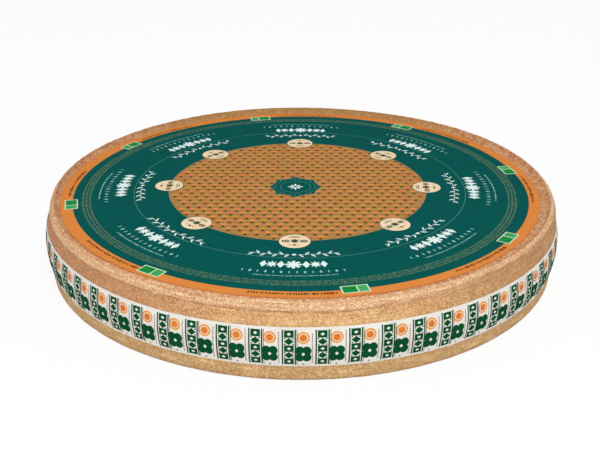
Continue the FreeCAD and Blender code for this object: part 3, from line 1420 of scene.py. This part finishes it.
    def _crests(self) -> None:
        """Builds the bold crest outside the line, with its row of beads and of stitches, one to a bearing."""
        bold = PrintRun("label_crests", self.inks.crests)
        fine = PrintRun("label_beads", self.inks.beads)
        marks = ((Motif.LOZENGE, 14.6, mm(4.6, 8.6)), (Motif.STAR, 25.2, mm(7.6, 8.6)),
                 (Motif.LOZENGE, 35.0, mm(4.2, 8.2)))
        chance = random.Random(11)
        for bearing in self._bearings():
            bold.press(Motif.ROSETTE, mm(9.6, 9.6), self._row(self.crests, bearing, 0))
            for side in (-1, 1):
                for motif, out, size in marks:
                    bold.press(motif, size, self._row(self.crests, bearing, side * out * MM))
                for step in range(7):
                    bead = mm(1.9, 3.3) if step % 2 else mm(0.9, 3.6)
                    spot = self._row(self.beads, bearing, side * (4.5 + 9.0 * step) * MM)
                    fine.press(Motif.LOZENGE, bead, spot)
            self._strokes(fine, chance, self.stitches, bearing, self.stitches_span, mm(0.34, 1.05), 2)
        for run in (bold, fine):
            run.piece()

    def _stitching(self) -> None:
        """Builds the rings of gold strokes near the green field's edge, and the dark ones on the orange."""
        gold = PrintRun("label_gold_strokes", self.inks.gold_strokes)
        bronze = PrintRun("label_bronze_strokes", self.inks.bronze_strokes)
        chance = random.Random(5)
        for radius in self.gold_radii:
            span = (0.0, FULL_TURN * radius - self.gold_gap)
            self._strokes(gold, chance, Circle(radius, self.gold_shift), 0.0, span, mm(0.36, 1.7), 2)
        gold.piece()
        for bearing in self._bearings(self.bronze_turn):
            self._strokes(bronze, chance, self.bronze, bearing, self.bronze_span, mm(0.8, 2.3), 1)
        bronze.piece()

    def _strokes(
        self, run: PrintRun, chance: random.Random, circle: Circle, bearing: float, span: Flat, size: Size,
        layer: int
    ) -> None:
        """Presses a row of small strokes in groups of uneven length, like a woven border.

        Args:
            run: The run of print that they join.
            chance: The seeded source of their unevenness.
            circle: The row's circle.
            bearing: The angle from which the row is measured.
            span: Where the row starts, as a distance round the circle from there, and its length.
            size: The size of an upright stroke.
            layer: The layer of their ink.
        """
        along = bearing * circle.radius + span[0]
        end = along + span[1]
        wide, tall = size.half_width, size.half_height
        while along < end:
            for _ in range(chance.randint(2, 9)):
                motif, stroke = chance.choices((
                    (Motif.BAR, Size(wide, tall, chance.uniform(-0.2, 0.2))),
                    (Motif.LOZENGE, Size(2 * wide, 0.8 * tall)),
                    (Motif.BAR, Size(2.2 * wide, 0.45 * tall)),
                ), (0.55, 0.3, 0.15))[0]
                along += stroke.half_width
                run.press(motif, stroke, self._row(circle, along / circle.radius, 0.0, layer))
                along += stroke.half_width + chance.uniform(0.4, 1.7) * wide
            along += chance.uniform(0.9, 1.5) * MM

    def _tabs(self) -> None:
        """Builds the two-tone green tabs that sit across the green field's edge."""
        rims = PrintRun("label_tab_rims", self.inks.tab_rims)
        deep = PrintRun("label_tab_fields", self.inks.tab_fields)
        fresh = PrintRun("label_tab_ends", self.inks.tab_ends)
        wide, tall, rim = self.tab_half_width, self.tab_half_height, self.tab_rim
        for bearing in self._bearings(self.tab_turn):
            at = partial(self._flat, self.tabs, bearing)
            rims.press(Motif.BAR, Size(wide, tall), at(0, 0, 3))
            for run, share, side in ((deep, self.tab_shares[0], -1), (fresh, self.tab_shares[1], 1)):
                half = 0.5 * (share * (2 * wide - 3 * rim))
                run.press(Motif.BAR, Size(half, tall - rim), at(side * (wide - rim - half), 0, 4))
        for run in (rims, deep, fresh):
            run.piece()


# ---- The band round the side


@dataclass(frozen=True)
class BandInks:
    """The band's paper and inks."""

    paper: PaperFinish = PaperFinish(
        "band_paper", tint(225, 223, 216), tint(213, 210, 201), 0.7, "band_paper",
        Lumps(26 * MM, 4.0), Lumps(1.1 * MM, 3.0, 0.6), 0.06 * MM)
    green: PaperFinish = band_ink("band_green", tint(8, 72, 38), tint(16, 80, 46), 0.5)
    rules: PaperFinish = band_ink("band_rule", tint(26, 66, 44), tint(26, 66, 44), 0.0)
    orange: PaperFinish = band_ink("band_orange", tint(222, 152, 66), tint(222, 140, 58), 0.5)
    hearts: PaperFinish = band_ink("band_deep_orange", tint(208, 110, 46), tint(222, 152, 66), 0.4)
    grey: PaperFinish = band_ink("band_grey", tint(120, 112, 104), tint(120, 112, 104), 0.0)
    bare: PaperFinish = band_ink("band_bare", tint(225, 223, 216), tint(213, 210, 201), 0.7)


@dataclass
class SideBand:
    """The paper band: a strip wrapped round the side and lapped over itself, with a repeating print."""

    shape: WheelShape
    inks: BandInks = field(default_factory=BandInks)
    glue: float = 0.1 * MM
    thickness: float = 0.8 * MM
    lap: float = 24.0 * MM
    step: float = 16.0 * MM
    ink: float = 0.14 * MM
    repeats: int = 60
    repeat_start: float = 0.01
    columns: int = 760
    rows: int = 10
    column_along: float = 3.0 * MM
    disc_along: float = 25.0 * MM
    disc_height: float = 37.4 * MM
    flower_height: float = 17.4 * MM
    dot_height: float = 3.2 * MM
    disc: Size = mm(7.0, 7.0)
    hoop: Size = mm(4.9, 4.9)
    heart: Size = mm(4.1, 4.1)
    petal: Size = mm(5.0, 5.7)
    petal_reach: Flat = (5.2 * MM, 6.0 * MM)
    flower_eye: Size = mm(2.0, 2.4)
    dot: Size = mm(1.1, 1.1)
    strokes_along: float = 34.6 * MM
    strokes_span: Flat = (5.0 * MM, 43.0 * MM)
    stroke_half_width: float = 0.5 * MM
    stroke_halves: Flat = (0.4, 1.1)
    stroke_gap: float = 0.7 * MM
    rules_across: tuple[Flat, ...] = ((0.0, 0.75), (13.6, 0.75), (15.5, 0.3))
    rule_margin: float = 2.6 * MM
    column_middle: float = 6.8 * MM
    column_marks: int = 5
    mark_heights: Flat = (7.3, 8.6)
    panel: Size = mm(5.1, 4.05)
    panel_eye: Size = mm(2.3, 1.8)
    lozenge: Size = mm(5.3, 4.2)
    corner: Size = mm(0.95, 0.75)
    corner_reach: Flat = (4.3 * MM, 3.3 * MM)

    def build(self) -> None:
        """Builds the strip and its print."""
        self._paper()
        self._print()

    def _wrap(self, along: float, height: float, out: float) -> Point:
        """Wraps a point of the flat strip round the wheel.

        Args:
            along: Distance along the strip from its start, which lies under its own end.
            height: Height above the strip's lower edge.
            out: Distance outwards from the strip's inner face.

        Returns:
            The point's place on the wheel.
        """
        shape = self.shape
        angle = QUARTER_TURN - 0.5 * self.lap / shape.radius + along / shape.radius
        rise_from = FULL_TURN * shape.radius - self.step
        stepped = smooth_share(along, rise_from, rise_from + self.step)
        level = shape.band_bottom + height
        reach = shape.side_radius(level) + shape.stray(angle) + self.glue + out
        reach += stepped * (self.thickness + self.glue)
        return (reach * math.cos(angle), reach * math.sin(angle), level)

    def _paper(self) -> None:
        """Makes the strip flat, lap included, gives it its thickness and wraps it round the wheel."""
        length, width = FULL_TURN * self.shape.radius + self.lap, self.shape.band_width
        strip = Bench.grid(self.columns, self.rows, 1)
        Bench.edit(strip)
        bpy.ops.mesh.select_all(action="SELECT")
        Bench.resize(length, width)
        bpy.ops.transform.translate(value=(0.5 * length, 0.5 * width, 0))
        Bench.thicken(self.thickness - self.ink)
        Bench.close()
        for vertex in strip.data.vertices:
            vertex.co = self._wrap(*vertex.co)
        Bench.edit(strip)
        Bench.close()
        Bench.shade()
        deliver(strip, "band_paper", self.inks.paper)
        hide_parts("side_band")

    def _at(self, along: float, height: float, layer: float = 1.0) -> Spot:
        """Returns the spot for an ornament on the strip, whose face is at a share of the ink's thickness."""
        face = self.thickness - self.ink + layer * self.ink
        return lambda x, y, z: self._wrap(along + x, height + y, face - (1 - z) * 2 * self.ink)

    def _print(self) -> None:
        """Presses the print: a green column, a ringed disc over a large quatrefoil, and fine strokes."""
        inks = self.inks
        green = PrintRun("band_green_print", inks.green)
        rules = PrintRun("band_rules", inks.rules)
        orange = PrintRun("band_orange_discs", inks.orange)
        hearts = PrintRun("band_disc_hearts", inks.hearts)
        grey = PrintRun("band_strokes", inks.grey)
        bare = PrintRun("band_bare_spots", inks.bare)
        chance = random.Random(23)
        pitch = FULL_TURN * self.shape.radius / self.repeats
        for repeat in range(self.repeats):
            start = self.lap + (repeat + self.repeat_start) * pitch
            self._column(green, rules, bare, start + self.column_along)
            middle = start + self.disc_along
            orange.press(Motif.DISC, self.disc, self._at(middle, self.disc_height, 0.5))
            bare.press(Motif.HOOP, self.hoop, self._at(middle, self.disc_height, 0.8))
            hearts.press(Motif.DISC, self.heart, self._at(middle, self.disc_height, 0.9))
            for petal in range(4):
                angle = 0.25 * math.pi + QUARTER_TURN * petal
                x, y = self.petal_reach[0] * math.cos(angle), self.petal_reach[1] * math.sin(angle)
                spot = self._at(middle + x, self.flower_height + y, 0.5 + 0.03 * petal)
                green.press(Motif.DISC, self.petal, spot)
            bare.press(Motif.LOZENGE, self.flower_eye, self._at(middle, self.flower_height))
            grey.press(Motif.DISC, self.dot, self._at(middle, self.dot_height))
            height, top = self.strokes_span
            while height < top:
                half = chance.uniform(*self.stroke_halves) * MM
                spot = self._at(start + self.strokes_along, height + half)
                grey.press(Motif.BAR, Size(self.stroke_half_width, half), spot)
                height += 2 * half + self.stroke_gap
        for run in (green, rules, orange, hearts, grey, bare):
            run.piece()

    def _column(self, green: PrintRun, rules: PrintRun, bare: PrintRun, start: float) -> None:
        """Presses one column, with lozenges left bare in it, and the rules beside it.

        Args:
            green: The run of the column.
            rules: The run of the rules.
            bare: The run of the bare lozenges.
            start: Where the column's first rule stands along the strip.
        """
        tall = 0.5 * self.shape.band_width
        for along, half in self.rules_across:
            rule = Size(half * MM, tall - self.rule_margin)
            rules.press(Motif.RULE, rule, self._at(start + along * MM, tall))
        column = start + self.column_middle
        lowest, pitch = self.mark_heights
        for number in range(self.column_marks):
            height = (lowest + pitch * number) * MM
            if number % 2:
                green.press(Motif.LOZENGE, self.lozenge, self._at(column, height, 0.6))
                for side, edge in ((-1, -1), (-1, 1), (1, -1), (1, 1)):
                    out, up = side * self.corner_reach[0], edge * self.corner_reach[1]
                    green.press(Motif.DISC, self.corner, self._at(column + out, height + up, 0.6))
            else:
                green.press(Motif.PANEL, self.panel, self._at(column, height, 0.5))
                bare.press(Motif.LOZENGE, self.panel_eye, self._at(column, height))


# ---- The studio


@dataclass(frozen=True)
class Lamp:
    """One soft square lamp, aimed at the wheel."""

    name: str
    place: Point
    size: float
    watts: float


@dataclass
class Studio:
    """A pale floor under soft light, and the camera."""

    target: Point = (-1.7 * MM, 0.0, 34.0 * MM)
    distance: float = 1364.0 * MM
    elevation: float = math.radians(24.3)
    lens: float = 58.78
    ambient: float = 0.62
    floor_glow: float = 0.9
    aim: Point = (0.0, 0.0, 0.05)
    lamps: tuple[Lamp, ...] = (
        Lamp("key_lamp", (0.4, -1.65, 1.95), 1.4, 30.0),
        Lamp("fill_lamp", (-1.5, -1.3, 1.3), 1.4, 6.0),
    )

    def build(self) -> None:
        """Builds the floor, the world, the lamps and the camera."""
        self._floor()
        self._world()
        for lamp in self.lamps:
            self._lamp(lamp)
        self._camera()
        bpy.context.scene.view_settings.view_transform = "Standard"

    def _floor(self) -> None:
        """Lays a pale floor that shows white and keeps the wheel's shadow."""
        floor = Bench.circle(96, 9.0, "NGON")
        floor.name = "studio_floor"
        recipe = Recipe("pale_floor")
        recipe.finish(tint(246, 246, 246), recipe.bump(recipe.clouds(Lumps(0.4)), 0.01 * MM), 1.0, 0.0)
        glow = recipe.node("Emission", 0, {"Color": WHITE})
        share = recipe.times(recipe.node("LightPath", "Is Camera Ray"), self.floor_glow)
        mixed = recipe.node("MixShader", 0, {0: share, 1: recipe.shader.outputs["BSDF"], 2: glow})
        recipe.feed(recipe.output.inputs["Surface"], mixed)
        floor.data.materials.append(recipe.material)
        floor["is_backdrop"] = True

    def _world(self) -> None:
        """Sets an even pale sky that shows white behind the wheel."""
        world = bpy.data.worlds.new("studio_sky")
        bpy.context.scene.world = world
        world.use_nodes = True
        sky = Wiring(world.node_tree)
        seen, glossy, clear = (
            sky.node("LightPath", f"Is {ray} Ray") for ray in ("Camera", "Glossy", "Transmission"))
        white = sky.sum("ADD", seen, sky.sum("ADD", glossy, clear), clamp=True)
        strength = sky.node("MapRange", "Result", {"To Min": self.ambient, "To Max": 1.0, "Value": white})
        glow = sky.node("Background", 0, {"Color": WHITE, "Strength": strength})
        sky.feed(sky.tree.nodes.new("ShaderNodeOutputWorld").inputs["Surface"], glow)

    def _lamp(self, lamp: Lamp) -> None:
        """Hangs one lamp and turns it to the wheel.

        Args:
            lamp: The lamp.
        """
        data = bpy.data.lights.new(lamp.name, "AREA")
        data.shape = "SQUARE"
        data.size = lamp.size
        data.energy = lamp.watts
        hung = bpy.data.objects.new(lamp.name, data)
        hung.location = lamp.place
        aim = Vector(self.aim) - Vector(lamp.place)
        hung.rotation_euler = aim.to_track_quat("-Z", "Y").to_euler()
        bpy.context.scene.collection.objects.link(hung)

    def _camera(self) -> None:
        """Sets the camera in front of the wheel, looking down on it."""
        data = bpy.data.cameras.new("camera")
        data.lens = self.lens
        data.sensor_fit = "HORIZONTAL"
        data.sensor_width = 36.0
        camera = bpy.data.objects.new("camera", data)
        x, y, z = self.target
        back, up = self.distance * math.cos(self.elevation), self.distance * math.sin(self.elevation)
        camera.location = (x, y - back, z + up)
        camera.rotation_euler = (QUARTER_TURN - self.elevation, 0, 0)
        bpy.context.scene.collection.objects.link(camera)
        bpy.context.scene.camera = camera


def write_sizes() -> None:
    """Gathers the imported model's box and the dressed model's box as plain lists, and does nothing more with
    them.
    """
    boxes = {"cad": CAD_BOX, "visual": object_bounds()}
    plain = {name: [[float(part) for part in corner] for corner in box] for name, box in boxes.items()}


def main() -> None:
    """Builds the rind, the label, the band and the studio, in that order."""
    logging.basicConfig(level=logging.INFO, format="%(name)s: %(message)s")
    shape = WheelShape()
    Rind(shape).build()
    TopLabel().build()
    SideBand(shape).build()
    Studio().build()
    write_sizes()


if __name__ == "__main__":
    main()
